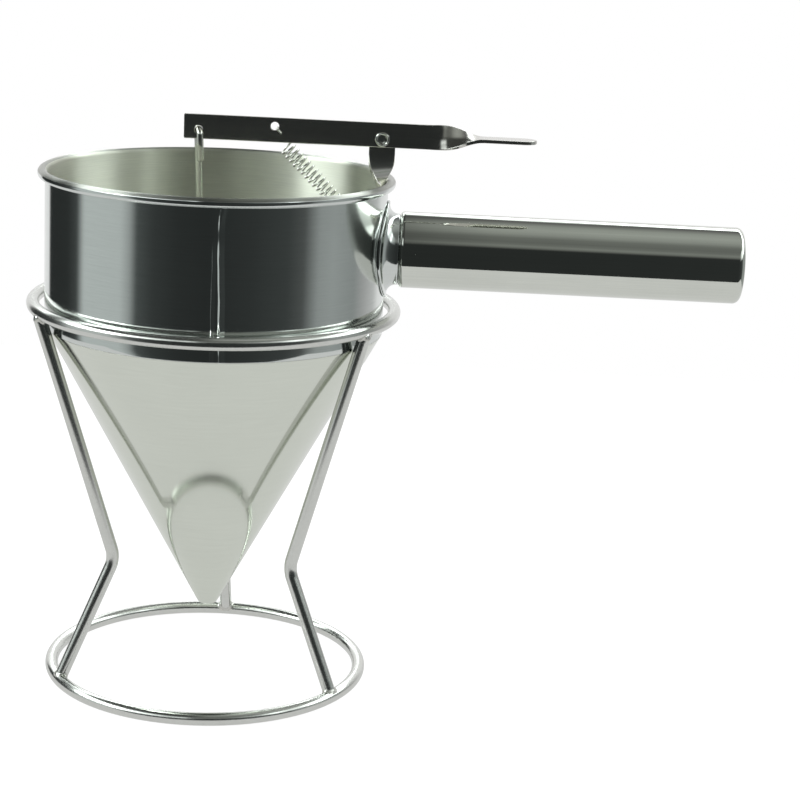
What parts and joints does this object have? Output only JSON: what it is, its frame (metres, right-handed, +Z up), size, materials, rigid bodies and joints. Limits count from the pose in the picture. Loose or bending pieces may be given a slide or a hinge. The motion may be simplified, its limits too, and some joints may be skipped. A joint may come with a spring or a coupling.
{
  "type": "batter funnel with stand",
  "caption": "Steel batter funnel with a tube handle and a sprung thumb lever that lifts a ball-ended plunger off its outlet, standing in a wire stand with bent legs.",
  "frame": {"origin": "on the axis of the stand and the funnel, at floor level", "axes": "+Z up along the funnel's axis, +X out along the handle, -Y towards the lever's side of its bracket"},
  "size_m": [0.3017, 0.1599, 0.2453],
  "materials": {
    "stand_wire": "bright polished stainless wire",
    "weld": "dressed weld",
    "satin_sheet": "half-bright rolled sheet",
    "polished_sheet": "mirror polished sheet, satin inside",
    "polished_tube": "mirror polished tube",
    "polished_strip": "mirror polished strip",
    "rivet_steel": "plain",
    "spring_wire": "bright spring wire",
    "rod_steel": "drawn bright rod"
  },
  "bodies": {
    "stand": {"stand_base_ring": "stand_wire", "stand_top_ring": "stand_wire", "stand_leg_back": "stand_wire", "stand_leg_left": "stand_wire", "stand_leg_right": "stand_wire", "stand_base_welds": "weld", "stand_top_welds": "weld"},
    "funnel": {"funnel_cone": "satin_sheet", "funnel_band": "polished_sheet", "handle_saddle": "polished_sheet", "handle_tube": "polished_tube", "handle_end_cap": "polished_tube", "lever_bracket": "polished_strip", "spring_anchor": "polished_strip", "pivot_rivet": "rivet_steel", "pivot_washer": "rivet_steel", "return_spring": "spring_wire"},
    "lever": {"lever": "polished_strip"},
    "plunger": {"plunger_rod": "rod_steel", "valve_ball": "rod_steel"}
  },
  "joints": [
    {"name": "funnel_lift", "type": "slide", "parent": "stand", "child": "funnel", "axis": [0, 0, 1], "range_m": [0, 0.15]},
    {"name": "lever_pivot", "type": "hinge", "parent": "funnel", "child": "lever", "pos_m": [0.0685, 0, 0.23827], "axis": [0, 1, 0], "range_deg": [0, 24], "stiffness_Nm_per_rad": 0.4, "springref_deg": -34.38, "deforming": ["return_spring"]},
    {"name": "plunger_swing", "type": "hinge", "parent": "lever", "child": "plunger", "pos_m": [-0.0083, 0, 0.23877], "axis": [0, 1, 0], "range_deg": [-24, 0]}
  ],
  "couplings": [
    {"joint": "plunger_swing", "follows": "lever_pivot", "ratio": -1}
  ]
}
